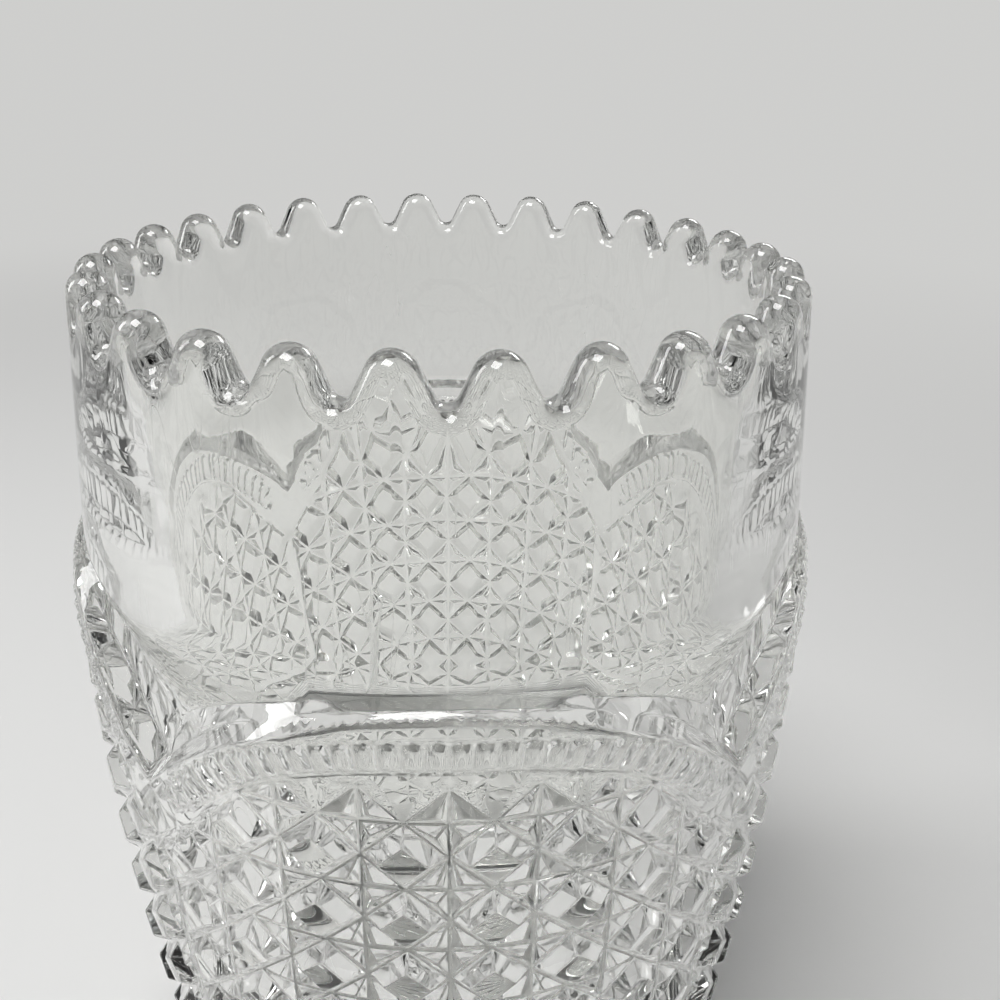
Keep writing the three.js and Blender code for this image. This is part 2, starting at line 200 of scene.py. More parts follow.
def cell_of(u, v):
    """Which diamond a point lies in, as two whole numbers, and how far across it both ways."""
    p, q = u + v, v - u
    return np.floor(p), np.floor(q), p - np.floor(p), q - np.floor(q)


def pattern_height(u, v):
    """The lowest of the planes that rise from the grooves round a diamond: two slanting pairs
    for every diamond, an upright and a level groove through a crossed one, and a level top on
    a button."""
    i, j, a, b = cell_of(u, v)
    column, row = (i - j) / 2, (i + j + 1) / 2
    slants = [rounded(np.minimum(way, 1 - way) / math.sqrt(2), GROOVE_ROUNDING) for way in (a, b)]
    edge = soft_ridge(*slants, RIDGE_ROUNDING)
    button = soft_min(BUTTON_SLOPE * edge, BUTTON_HEIGHT, TOP_ROUNDING)
    levels = [rounded(np.abs(way), GROOVE_ROUNDING) for way in (u - column, v - row)]
    cross = soft_ridge(*levels, RIDGE_ROUNDING)
    star = STAR_SLOPE * soft_ridge(edge, cross, RIDGE_ROUNDING)
    return np.where((i - j) % 2 == 1, button, star)


probe = pattern_height(np.array([0.5, 0.15, 0.0]), np.array([0.0, 0.65, 0.0]))
print("button, star and groove stand", np.round(probe, 2), "mm high")

# %% [markdown]
# ## Arched borders
# Each panel is closed by an arch: a smooth band rises from the field, then come ribs like small
# tongues, a plain strip, a rounded crest, and a narrow bevel in two slopes, up to the crease where
# the collar starts. Every line is a row as a function of the distance from the panel's middle.
# Where the diamonds stop, the band rises from the last grooves in a zigzag.

# %% Lines of the arch
CREASE_MIDDLE, CREASE_FALL = 2.11, 1.52
BEVEL_MIDDLE, BEVEL_GROWTH = 0.07, 0.43
CREST_DROP = 0.19
RIB_TOP_MIDDLE, RIB_FOOT_MIDDLE = 1.72, 1.29
RIB_FALL, RIB_POWER = 2.2, 2.6
FIELD_MIDDLE, FIELD_FALL, FIELD_POWER = 0.98, 2.08, 2.15


def across_panel(u):
    """Distance from the middle of its own panel, from 0 there to 1 at the corner."""
    return np.abs((u + HALF_PANEL) % (2 * HALF_PANEL) - HALF_PANEL) / HALF_PANEL


def crease_row(u):
    """Where the bevel meets the collar: a parabola that falls to the corner."""
    return CREASE_MIDDLE - CREASE_FALL * across_panel(u) ** 2


def bevel_row(u):
    """Where the bevel under the crease ends: close below it at the panel's middle, and lower by
    the cube of the distance from there, up to half a row at the corner."""
    return crease_row(u) - BEVEL_MIDDLE - BEVEL_GROWTH * across_panel(u) ** 3


def crest_row(u):
    """The crest of the border: the end of the bevel, less a fixed part of a row."""
    return bevel_row(u) - CREST_DROP


def rib_top_row(u):
    """Where the ribs end in points: a power curve that falls to the corner."""
    return RIB_TOP_MIDDLE - RIB_FALL * across_panel(u) ** RIB_POWER


def rib_foot_row(u):
    """Where the ribs begin, round like the tips of tongues: the same curve, set lower."""
    return RIB_FOOT_MIDDLE - RIB_FALL * across_panel(u) ** RIB_POWER


def field_row(u):
    """Edge of the field of diamonds: the square of a sine of a power, level at both ends."""
    return FIELD_MIDDLE - FIELD_FALL * np.sin(np.pi / 2 * across_panel(u) ** FIELD_POWER) ** 2


def is_cut(i, j):
    """Whether a diamond belongs to the field: its middle lies below the field's edge."""
    return (i + j + 1) / 2 < field_row((i - j) / 2)


def steps_from_field(u, v):
    """Distance from the nearest diamond that is cut, along the slanting grooves: the smallest
    over a diamond and its eight neighbours of the larger of the two gaps to it."""
    i, j, a, b = cell_of(u, v)
    nearest = np.full(u.shape, 2.0)
    for di in (-1, 0, 1):
        for dj in (-1, 0, 1):
            gap_a = (a, 0 * a, 1 - a)[di + 1]
            gap_b = (b, 0 * b, 1 - b)[dj + 1]
            gap = np.maximum(gap_a, gap_b)
            nearest = np.where(is_cut(i + di, j + dj), np.minimum(nearest, gap), nearest)
    return nearest


for name, line in (("field", field_row), ("ribs", rib_foot_row), ("crease", crease_row)):
    print(name, "from row", round(float(line(0)), 2), "down to", round(float(line(HALF_PANEL)), 2))

# %% [markdown]
# ## Ribs
# The ribs stand square to the arch, so they lean outwards towards the corners. A rib has its own
# two measures: how far along the arch it stands, counted in ribs, and how far up the band
# a point lies. The slant shifts a point sideways by the slope of the arch times its height over
# the middle of the band, and a few rounds of correction turn that rule round.

# %% Ribs of the border
RIBS_PER_HALF = 17
RIB_LEAN = 0.75
RIB_BAND = 0.215
RIB_RISE = 0.62
RIB_SINK = 0.22
RIB_END = 1.15
RIB_FADE = 0.15
RIB_ROUNDING = 0.12
LAST_RIB_COLUMN = 3.62
SLANT_ROUNDS = 6
ARCH_U = np.linspace(0, HALF_PANEL, 401)


def rib_middle_row(u):
    """The middle of the ribbed band."""
    return (rib_foot_row(u) + rib_top_row(u)) / 2


ARCH_FALL = np.gradient(rib_middle_row(ARCH_U), ARCH_U)
ARCH_LENGTH = np.concatenate(
    [[0], np.cumsum(np.hypot(1, (ARCH_FALL[1:] + ARCH_FALL[:-1]) / 2) * np.diff(ARCH_U))]
)
RIB_PITCH = np.interp(LAST_RIB_COLUMN, ARCH_U, ARCH_LENGTH) / RIBS_PER_HALF


def rib_place(u, v):
    """Ribs counted from the panel's middle, and height over the band's middle from -1 to 1."""
    u = across_panel(u) * HALF_PANEL
    foot = u
    for _ in range(SLANT_ROUNDS):
        fall = np.interp(foot, ARCH_U, ARCH_FALL)
        foot = np.clip(u + RIB_LEAN * fall * (v - rib_middle_row(foot)), 0, HALF_PANEL)
    count = np.interp(foot, ARCH_U, ARCH_LENGTH) / RIB_PITCH
    return count, (v - rib_middle_row(foot)) / RIB_BAND


def rib_point(count, up):
    """The column and row of a point on a rib: the inverse of rib_place."""
    foot = np.interp(count * RIB_PITCH, ARCH_LENGTH, ARCH_U)
    fall = np.interp(foot, ARCH_U, ARCH_FALL)
    return foot - RIB_LEAN * fall * up * RIB_BAND, rib_middle_row(foot) + up * RIB_BAND


def rib_height(u, v):
    """A tongue: a parabola across, cut by a round foot and two planes that meet in a point. It
    stands from the sink to the rise, and fades to nothing at both ends."""
    count, up = rib_place(u, v)
    side = np.abs(2 * (count % 1) - 1)
    round_foot = 1 - (np.clip(-up - 0.35, 0, None) / 0.62) ** 2 - side**2 * 0.4
    point = (1.04 - up) / 0.42 - side * 0.9
    tongue = soft_min(soft_min(1 - side**2, round_foot, RIB_ROUNDING), point, RIB_ROUNDING)
    inside = (np.abs(up) < RIB_END) & (count < RIBS_PER_HALF)
    relief = (RIB_RISE + RIB_SINK) * tongue - RIB_SINK
    ends = np.clip((RIB_END - np.abs(up)) / RIB_FADE, 0, 1)
    return np.where(inside, np.maximum(relief, -RIB_SINK) * ends, 0)


print("ribs on each arch:", 2 * RIBS_PER_HALF)

# %% [markdown]
# ## Radius of the border
# Between the lines of the arch the border is made of straight slopes, each from one radius to the
# next. From the crest a steep roll leads in to the step, a flatter bevel leads on to the crease,
# and soft minima and maxima join them with each other and with the collar.

# %% Slopes of the border
BAND_EDGE_HEIGHT = 0.95
BAND_HEIGHT = 1.3
STRIP_HEIGHT = 1.8
CORNER_HEIGHT = 1.3
BEVEL_RISE, BEVEL_CORNER_RISE = 1.7, 0.9
CREST_ROUNDING = 1.3
CREASE_ROUNDING = 0.25
EDGE_SLOPE = 9.0


def border_radius(u, v):
    """Radius of the border and the collar above it: straight slopes between the lines of the
    arch, the softly lower one of the strip and the roll, and the softly higher one of that and
    the collar."""
    base = groove_ring(row_height(v))
    corner = across_panel(u) ** 4
    low = mix(BAND_HEIGHT, CORNER_HEIGHT, corner)
    high = mix(STRIP_HEIGHT, CORNER_HEIGHT, corner)
    edge, foot, top = field_row(u), rib_foot_row(u), rib_top_row(u)
    band = mix(BAND_EDGE_HEIGHT, low, np.clip((v - edge) / (foot - edge), 0, 1))
    band = band + (high - low) * np.clip((v - foot) / (top - foot), 0, 1)
    strip = base + band + rib_height(u, v)
    crest, crease = crest_row(u), crease_row(u)
    crest_radius = GROOVE_RADIUS + high
    crease_radius = collar_radius(row_height(crease))
    step = bevel_row(u)
    step_radius = crease_radius + BEVEL_RISE + BEVEL_CORNER_RISE * corner
    bevel = mix(step_radius, crease_radius, (v - step) / (crease - step))
    roll = mix(crest_radius, step_radius, (v - crest) / (step - crest))
    shell = soft_min(strip, soft_max(roll, bevel, CREASE_ROUNDING), CREST_ROUNDING)
    return soft_max(shell, collar_radius(row_height(v)), CREASE_ROUNDING)


def edge_rise(u, v):
    """Height of the slope that rises from the field's edge, measured square to that edge."""
    fall = (field_row(u + 0.01) - field_row(u - 0.01)) / 0.02
    return EDGE_SLOPE * (v - field_row(u)) / np.hypot(1, fall)


shown = border_radius(np.array([0.0, HALF_PANEL]), np.array([1.5, 0.3]))
print("border at the panel's middle and corner:", np.round(shown, 2), "mm")

# %% [markdown]
# ## The whole outside
# The outside is now one function: the radius at a column and a row. The field's pattern and the
# border are joined in the order in which the mould maker would have cut them. Last comes a plain
# upright groove down each panel corner. It is a little deeper than the others, and it runs out
# at both ends, as a wheel leaves the work.

# %% Radius of the outside
STEP_SLOPE = 4.0
STEP_ROUNDING = 0.2
CORNER_FLAT = 0.05
CORNER_SLOPE = 15.0
CORNER_DEPTH = 0.5
CORNER_TOP = -1.05
CORNER_RUN = 0.45
CORNER_LIFT = 3
CORNER_ROUNDING = 0.15
WIDE_ROUNDING = 0.05


def corner_groove(u, v):
    """Height of the groove down a panel corner: flat in the middle, straight slopes on both
    sides, and lifted by a parabola at both ends."""
    aside = np.clip(HALF_PANEL * (1 - across_panel(u)) - CORNER_FLAT, 0, None)
    flank = CORNER_SLOPE * rounded(aside, WIDE_ROUNDING) - CORNER_DEPTH
    over = np.clip((v - CORNER_TOP) / CORNER_RUN + 1, 0, None)
    under = np.clip((BOTTOM_ROW - v) / CORNER_RUN + 1, 0, None)
    return flank + CORNER_LIFT * (over**2 + under**2)


def outer_radius(u, v):
    """Radius of the outside at any column and row: the pattern inside the field, cut by the
    corner groove, and outside it the border, held down to a slope that rises from the field's
    last grooves."""
    base = groove_ring(row_height(v))
    i, j, _, _ = cell_of(u, v)
    cut = is_cut(i, j)
    away = STEP_SLOPE * rounded(steps_from_field(u, v), WIDE_ROUNDING)
    rise = soft_max(np.where(cut, 0, away), edge_rise(u, v), STEP_ROUNDING)
    outside = soft_min(border_radius(u, v) - base, rise, STEP_ROUNDING)
    inside = np.where(cut, pattern_height(u, v), outside)
    relief = np.maximum(inside, outside)
    grooved = soft_min(relief, corner_groove(u, v), CORNER_ROUNDING)
    relief = np.where(cut, grooved, relief)
    return np.where(v < BOTTOM_ROW, foot_band_radius(row_height(v)), base + relief)


shown = outer_radius(np.array([0.5, 0.5, HALF_PANEL]), np.array([0.0, -0.5, -4.0]))
print("button, groove and corner groove at", np.round(shown, 2), "mm")

# %% [markdown]
# ## Teeth of the rim
# Unrolled, the rim is a row of teeth: round tops, straight flanks and small round valleys without
# a kink. The outline is two arcs and their common tangent, so the steepness of the flanks follows
# from the sizes. The edge is rounded across the wall by a bead, which is this outline moved
# inwards along its own normal.

# %% Outline of the teeth
TEETH = 28
TOOTH_HEIGHT = 6.8
TOOTH_TOP_RADIUS = 3.8
TOOTH_VALLEY_RADIUS = 1.5
BEAD_DEPTH = 2.9
BEAD_STEPS = 12
VALLEY_POINTS, TOP_POINTS = 5, 8
HALF_TOOTH = math.pi * RIM_RADIUS / TEETH
HALF_TEETH = TEETH // PANELS


def tooth_half():
    """Half a tooth from the valley up to the tip, as rows of along, height, side and up. An arc
    turns through the flank's angle round the valley, and one turns back round the top."""
    rise = TOOTH_HEIGHT - TOOTH_TOP_RADIUS - TOOTH_VALLEY_RADIUS
    reach = math.hypot(rise, HALF_TOOTH)
    lean = math.asin((TOOTH_TOP_RADIUS + TOOTH_VALLEY_RADIUS) / reach)
    flank = math.atan2(rise, HALF_TOOTH) + lean
    valley = flank * np.linspace(0, 1, VALLEY_POINTS)
    top = flank * np.linspace(1, 0, TOP_POINTS)
    low = VASE_HEIGHT - TOOTH_HEIGHT + TOOTH_VALLEY_RADIUS * (1 - np.cos(valley))
    high = VASE_HEIGHT - TOOTH_TOP_RADIUS * (1 - np.cos(top))
    start, end = TOOTH_VALLEY_RADIUS * np.sin(valley) - HALF_TOOTH, -TOOTH_TOP_RADIUS * np.sin(top)
    pairs = ((start, end), (low, high), (valley, top))
    along, height, turn = (np.concatenate(pair) for pair in pairs)
    return np.stack([along, height, -np.sin(turn), np.cos(turn)])


def rim_outline():
    """The outline over half a panel, from a valley at the middle to a tip at the corner: seven
    half teeth, every other one mirrored."""
    half = tooth_half()
    parts = []
    for k in range(HALF_TEETH):
        along, height, side, up = half if k % 2 == 0 else half[:, ::-1]
        turn = 1 if k % 2 == 0 else -1
        shift = HALF_TOOTH * (k + 1) if k % 2 == 0 else HALF_TOOTH * k
        part = np.array([turn * along + shift, height, turn * side, up])
        parts.append(part if k == 0 else part[:, 1:])
    return np.concatenate(parts, axis=1)


def bead_section(turn):
    """The outline moved inwards by the bead at a turn from 0 outside to half a turn inside: its
    columns, heights and radii."""
    along, height, side, up = rim_outline()
    inward = BEAD_DEPTH * (1 - math.sin(turn))
    height = height - inward * up
    column = (along - inward * side) / RIM_RADIUS / COLUMN_ANGLE
    share = (1 + math.cos(turn)) / 2
    return column, height, mix(bore_radius(height), collar_radius(height), share)


print("points round the rim:", 8 * (rim_outline().shape[1] - 1))

# %% [markdown]
# ## Lines for the facets
# A plain grid would cut across the ridges and leave them ragged. So the flat map of half
# a panel is covered with the lines of the pattern first: grooves, ridges and the edges of the
# buttons, each with a close companion on both sides that holds its rounding. The template of one
# diamond is written once, and numpy sets it down at every place.

# %% Template of a button
def chain(points, closed=False):
    """The segments that join points in order."""
    points = np.array(points, float)
    ends = np.roll(points, -1, axis=0)
    segments = np.stack([points, ends], axis=1)
    return segments if closed else segments[:-1]


def diamond(reach):
    """A diamond's outline with its corners at that reach from the middle."""
    return chain([(reach, 0), (0, reach), (-reach, 0), (0, -reach)], closed=True)


def quarter_turns(segments):
    """The segments and their copies turned by one, two and three right angles."""
    turned = [segments]
    for _ in range(3):
        turned.append(np.stack([-turned[-1][..., 1], turned[-1][..., 0]], axis=-1))
    return np.concatenate(turned)


SIDE = 0.024
BUTTON_IN, BUTTON_OUT = 0.026, 0.018
INSET = 0.5 - GROOVE_ROUNDING * math.sqrt(2)
TOP_IN, TOP_OUT = BUTTON_TOP - BUTTON_IN, BUTTON_TOP + BUTTON_OUT
hips = [chain([(TOP_IN, 0), (0.5, 0)])]
hips += [chain([(TOP_OUT - SIDE, side), (INSET - SIDE, side)]) for side in (SIDE, -SIDE)]
outlines = [diamond(reach) for reach in (0.5, INSET, TOP_OUT, TOP_IN)]
button_lines = np.concatenate([*outlines, quarter_turns(np.concatenate(hips))])
print(len(button_lines), "lines to a button")

# %% [markdown]
# ## The crossed diamond's lines
# A quarter of a crossed diamond is a pyramid over a triangle. Its tip lies equally far from the
# three grooves, and three ridges run from there to the corners.

# %% Template of a crossed diamond
INCENTRE = (1 - math.sqrt(0.5)) / 2
BESIDE = 0.8 * SIDE
SHORT_OF_CORNER = 2.6 * SIDE


def ridge(corner):
    """The ridge from a pyramid's tip to one corner, with a companion on either side."""
    tip = np.array([INCENTRE, INCENTRE])
    along = (np.array(corner) - tip) / np.linalg.norm(np.array(corner) - tip)
    aside = np.array([-along[1], along[0]]) * BESIDE
    start, stop = tip + BESIDE * along, np.array(corner) - SHORT_OF_CORNER * along
    sides = [chain([start + aside, stop + aside]), chain([start - aside, stop - aside])]
    return np.concatenate([chain([tip, corner]), *sides])


low, high = GROOVE_ROUNDING, INSET - GROOVE_ROUNDING
inner = chain([(low, low), (high, low), (low, high)], closed=True)
quarter = np.concatenate([inner, ridge((0, 0)), ridge((0.5, 0)), ridge((0, 0.5))])
cross_lines = np.concatenate([diamond(0.5), quarter_turns(chain([(0, 0), (0.5, 0)]))])
star_lines = np.concatenate([cross_lines, quarter_turns(quarter)])
print(len(star_lines), "lines to a crossed diamond")

# %% [markdown]
# ## Laying the field's lines
# The templates are set down at every diamond of the field, and the lines are cut at the edges of
# the half panel, where they meet their mirror images.

# %% Lines of the field
TINY = 1e-9
ABOVE_RIM = 9


def clip_lines(segments, low, high, axis):
    """Segments cut to the strip between low and high on one axis, by the share of each segment
    that lies inside."""
    start, run = segments[:, 0], segments[:, 1] - segments[:, 0]
    step = run[:, axis]
    safe = np.where(np.abs(step) < TINY, TINY, step)
    t0, t1 = (low - start[:, axis]) / safe, (high - start[:, axis]) / safe
    enter = np.clip(np.minimum(t0, t1), 0, 1)
    leave = np.clip(np.maximum(t0, t1), 0, 1)
    flat = np.abs(step) < TINY
    inside = (start[:, axis] >= low - TINY) & (start[:, axis] <= high + TINY)
    enter, leave = np.where(flat, 0, enter), np.where(flat, 1, leave)
    keep = np.where(flat, inside, leave - enter > 1e-6)
    cut = np.stack([start + enter[:, None] * run, start + leave[:, None] * run], axis=1)
    return cut[keep]


def field_lines():
    """The templates at every diamond that is cut, within half a panel."""
    laid = []
    rows = np.arange(-ROWS, 2)
    for template, column_shift, row_shift in ((button_lines, 0.5, 0), (star_lines, 0, 0.5)):
        column, row = np.meshgrid(np.arange(-1, HALF_PANEL + 1) + column_shift, rows + row_shift)
        keep = row < field_row(column)
        centre = np.stack([column[keep], row[keep]], axis=-1)
        laid.append((centre[:, None, None, :] + template).reshape(-1, 2, 2))
    lines = clip_lines(np.concatenate(laid), 0, HALF_PANEL, 0)
    return clip_lines(lines, BOTTOM_ROW, ABOVE_RIM, 1)


print(len(field_lines()), "lines in the field of half a panel")

# %% [markdown]
# ## Lines and points of the border
# Round the border come the lines of the arch and a small grid on each rib. Loose points keep the
# smooth bands and the collar round.

# %% Lines and points of the border
ARCH_STEPS = 48
RIB_LINES = (0, 0.07, 0.22, 0.5, 0.78, 0.93)
RIB_LEVELS = (-1.12, -0.97, -0.85, -0.65, -0.35, 0.2, 0.55, 0.8, 1.02, 1.13)
COLLAR_STEP = 0.25


def curve_line(rows_of, shift):
    """The segments of a curve of the arch, shifted by some rows, over half a panel."""
    u = np.linspace(0, HALF_PANEL, ARCH_STEPS + 1)
    return chain(np.stack([u, rows_of(u) + shift], axis=-1))


def rib_lines():
    """Lines along every rib at its edges and its middle, and the points of a small grid."""
    count = np.arange(RIBS_PER_HALF)[:, None] + np.array(RIB_LINES)
    count = np.append(count.ravel(), RIBS_PER_HALF)
    u, v = rib_point(count[:, None], np.array(RIB_LEVELS)[None, :])
    grid = np.stack([u, v], axis=-1)
    along = np.stack([grid[:, :-1], grid[:, 1:]], axis=2)[::3].reshape(-1, 2, 2)
    return along[(along[..., 0] >= 0).all(axis=1)], grid.reshape(-1, 2)


def smooth_points():
    """Loose points on the band, the strip, the bevel and the collar."""
    u = np.linspace(0, HALF_PANEL, 33)[1:-1]
    rows = [
        mix(field_row(u), rib_foot_row(u), 0.45),
        mix(field_row(u), rib_foot_row(u), 0.75),
        mix(rib_top_row(u), crest_row(u), 0.6),
        mix(crest_row(u), crease_row(u), 0.5),
    ]
    points = [np.stack([u, row], axis=-1) for row in rows]
    u = np.arange(0, HALF_PANEL + 0.01, COLLAR_STEP)
    for row in np.arange(0.75, 4.7, COLLAR_STEP):
        ring = np.stack([u, np.full_like(u, row)], axis=-1)
        points.append(ring[row > crease_row(u) + 0.12])
    return np.concatenate(points)


rib_edges, rib_points = rib_lines()
print(len(rib_edges), "lines and", len(rib_points), "points on the ribs of half a panel")

# %% [markdown]
# ## All the lines of half a panel
# The map is framed by the outline of the teeth, the two edges of the half panel and the plain
# band over the foot. The corner groove gets upright lines, closer where it is round.

# %% All the lines
FOOT_COLUMNS = 8 * HALF_PANEL
CORNER_LINES = (0.02, 0.05, 0.08, 0.115, 0.15, 0.19, 0.235)

column, height, _ = bead_section(0)
rim_edge = np.stack([column, (height - TOP_ROW_HEIGHT) / ROW_PITCH], axis=-1)
foot_u = np.linspace(0, HALF_PANEL, FOOT_COLUMNS + 1)
foot_edge = np.stack([foot_u, np.full_like(foot_u, MAP_BOTTOM)], axis=-1)
band_edge = foot_edge + np.array([0, BOTTOM_ROW - MAP_BOTTOM])
sides = [[foot_edge[end], rim_edge[end]] for end in (0, -1)]
frame_lines = np.concatenate([chain(path) for path in (rim_edge, *sides, foot_edge, band_edge)])
arch_shifts = {
    field_row: (0.0, 0.1),
    rib_foot_row: (-0.04,),
    crest_row: (-0.05, 0, 0.05),
    bevel_row: (-0.02, 0, 0.02),
    crease_row: (-0.02, 0, 0.02),
}
arch_lines = np.concatenate(
    [curve_line(line, shift) for line, shifts in arch_shifts.items() for shift in shifts]
)
corner_lines = [
    [(HALF_PANEL - aside, row) for row in (BOTTOM_ROW, CORNER_TOP)] for aside in CORNER_LINES
]
segments = np.concatenate([frame_lines, field_lines(), arch_lines, rib_edges, corner_lines])
print(len(segments), "lines on half a panel")

# %% [markdown]
# ## Triangles between the lines
# Blender's constrained Delaunay routine fills a flat map with triangles that never cross a given
# line, and it makes a new point wherever two lines cross. What lies above the teeth is thrown
# away, and so are slivers with no area.

# %% Triangles of the outside
SAME_POINT = 2e-4
ON_EDGE = 1e-4


def triangulate(segments, points):
    """Points and triangles of a flat map with the segments as edges."""
    ends = segments.reshape(-1, 2)
    all_points = np.concatenate([ends, points])
    edges = np.arange(len(ends)).reshape(-1, 2)
    found = delaunay_2d_cdt(all_points.tolist(), edges.tolist(), [], 0, SAME_POINT, False)
    flat = np.array([tuple(p) for p in found[0]])
    return flat, np.array(found[2])


flat, triangles = triangulate(segments, np.concatenate([rib_points, smooth_points()]))
for axis, edge in ((0, 0), (0, HALF_PANEL), (1, MAP_BOTTOM), (1, BOTTOM_ROW)):
    flat[np.abs(flat[:, axis] - edge) < ON_EDGE, axis] = edge
middle = flat[triangles].mean(axis=1)
below_rim = middle[:, 1] < np.interp(middle[:, 0], rim_edge[:, 0], rim_edge[:, 1])
within = (middle[:, 0] > 0) & (middle[:, 0] < HALF_PANEL) & (middle[:, 1] > MAP_BOTTOM)
triangles = triangles[below_rim & within]
corner = flat[triangles]
area = np.cross(corner[:, 1] - corner[:, 0], corner[:, 2] - corner[:, 0])
triangles = triangles[np.abs(area) > TINY]
used, triangles = np.unique(triangles, return_inverse=True)
triangles = triangles.reshape(-1, 3)
flat = flat[used]
print(len(flat), "points and", len(triangles), "triangles on half a panel")

# %% [markdown]
# ## Sheets that share their edges
# The other surfaces are plain grids: a profile carried round half a panel. Neighbouring grids
# share their edge points by number, so no seam has to be closed later.

# %% Rows of points and the triangles between them
map_u, map_v = flat.T
sheet_points = [np.stack([map_u, outer_radius(map_u, map_v), row_height(map_v)])]
sheet_triangles = [triangles]


def add_row(u, radius, height):
    """Adds a row of points, given by columns, radii and heights, and returns their numbers."""
    start = sum(part.shape[1] for part in sheet_points)
    u, radius, height = np.broadcast_arrays(np.array(u, float), radius, height)
    sheet_points.append(np.stack([u, radius, height]))
    return np.arange(start, start + u.size)


def weave(rows):
    """Triangles between each row of points and the next one above it."""
    for low, high in zip(rows[:-1], rows[1:]):
        first = np.stack([low[:-1], low[1:], high[1:]], axis=1)
        second = np.stack([low[:-1], high[1:], high[:-1]], axis=1)
        both = np.concatenate([first, second])
        whole = (both != np.roll(both, 1, axis=1)).all(axis=1)
        sheet_triangles.append(both[whole])


def shared_points(targets):
    """Numbers of the flat map's points that lie at the targets."""
    gaps = np.linalg.norm(flat[None, :, :] - targets[:, None, :], axis=2)
    print("largest gap to a shared edge:", float(gaps.min(axis=1).max()))
    return gaps.argmin(axis=1)


# %% [markdown]
# ## Bead, bore and floor
# From the edge of the teeth the bead runs over the wall and inside. The bore goes down from there
# to a round corner, and the floor closes it at the axis.

# %% Rows of the inside
BORE_HEIGHTS = (184, 171, SHOULDER_HEIGHT, 136, 114, 92, 70, 48, FLOOR_THICKNESS + FLOOR_FILLET)
FILLET_STEPS = 8
FLOOR_RADII = (24, 10)

rim_u = bead_section(math.pi)[0]
rim_u[[0, -1]] = 0, HALF_PANEL
rows = [shared_points(rim_edge)]
for turn in np.linspace(0, math.pi, BEAD_STEPS + 1)[1:]:
    u, height, radius = bead_section(turn)
    u[[0, -1]] = 0, HALF_PANEL
    rows.append(add_row(u, radius, height))
for height in BORE_HEIGHTS:
    rows.append(add_row(rim_u, bore_radius(np.array(height, float)), height))
for turn in np.linspace(0, math.pi / 2, FILLET_STEPS + 1)[1:]:
    reach = BORE_FLOOR_RADIUS - FLOOR_FILLET * (1 - math.cos(turn))
    rise = FLOOR_THICKNESS + FLOOR_FILLET * (1 - math.sin(turn))
    rows.append(add_row(rim_u, reach, rise))
for radius in FLOOR_RADII:
    rows.append(add_row(rim_u, radius, FLOOR_THICKNESS))
rows.append(np.full(rim_u.size, add_row([2.0], 0, FLOOR_THICKNESS)[0]))
weave(rows)
print("rows of the inside:", len(rows))

# %% [markdown]
# ## Foot and star
# Below the pattern the foot runs in to the recess, where a star of long kites is pressed into the
# underside, as such vases have. Across a ray its depth falls evenly from the middle line to the
# edge, and along it the depth grows to the widest place and shrinks again, so each ray is four
# flat facets. The grid's columns follow the edges of the kites instead of plain radii.

# %% The foot's profile and the star of the underside
FOOT_RADIUS = 57.0
FOOT_EDGE_HEIGHT = 5.0
STAND_OUTER = 55.0
STAND_INNER = 46.0
RECESS = 2.0
RAYS = 16
RAY_LENGTH = 41.0
RAY_DEPTH = 1.6
RAY_START = 0.08
RAY_WIDEST = 0.55
RAY_RINGS = (RAY_START, 0.2, 0.32, 0.44, RAY_WIDEST, 0.68, 0.82, 0.93, 1)
WAIST_SWELL, WAIST_SWELL_TOP = 0.15, 14

half_width = math.pi * RAY_LENGTH / RAYS / 2
shares = np.array([0, 1, 2, 3, 4, 5, 6, 6, 6]) / 6
gap_shares = np.array([0, 0, 0, 0, 0, 0, 0, 0.5, 1])


def ray_ring(along):
    """A ring of the star at a distance along the rays: points across half a ray, then across the
    plain gap to the line between two rays, and the same mirrored for the next half ray. The
    depth is the ray's depth times t and the share left to the edge."""
    start, widest = RAY_START * RAY_LENGTH, RAY_WIDEST * RAY_LENGTH
    if along < widest:
        t = (along - start) / (widest - start)
    else:
        t = (RAY_LENGTH - along) / (RAY_LENGTH - widest)
    edge = max(half_width * t, 0.01 * along)
    angle = np.arctan2(edge * shares, along)
    radius = np.hypot(edge * shares, along)
    between = math.pi / RAYS
    angle = mix(angle, between, gap_shares)
    depth = RAY_DEPTH * t * (1 - shares)
    one = np.stack([angle / COLUMN_ANGLE, radius, RECESS + depth])
    back = one[:, ::-1] * np.array([[-1], [1], [1]]) + np.array([[2], [0], [0]])
    first = np.concatenate([one, back[:, 1:]], axis=1)
    second = first + np.array([[2], [0], [0]])
    return np.concatenate([first, second[:, 1:]], axis=1)


rows = [np.full(foot_u.size, add_row([2.0], 0, RECESS)[0])]
for along in RAY_LENGTH * np.array(RAY_RINGS):
    u, radius, height = ray_ring(along)
    u[[0, -1]] = 0, HALF_PANEL
    rows.append(add_row(u, radius, height))
foot_profile = [
    (STAND_INNER - RECESS - 0.3, RECESS),
    (STAND_INNER - RECESS + 0.2, RECESS - 0.2),
    (STAND_INNER - 0.4, 0.3),
    (STAND_INNER + 0.2, 0),
    (STAND_OUTER - 0.4, 0),
    (STAND_OUTER + 0.5, 0.4),
    (FOOT_RADIUS - 0.3, FOOT_EDGE_HEIGHT - 3.2),
    (FOOT_RADIUS, FOOT_EDGE_HEIGHT - 2.5),
    (FOOT_RADIUS, FOOT_EDGE_HEIGHT - 0.6),
    (FOOT_RADIUS - 0.4, FOOT_EDGE_HEIGHT + 0.3),
    (FOOT_WAIST_RADIUS + 0.75, FOOT_WAIST_HEIGHT - 2.4),
    (FOOT_WAIST_RADIUS + 0.3, FOOT_WAIST_HEIGHT - 0.6),
]
for radius, height in foot_profile:
    rows.append(add_row(foot_u, radius, height))
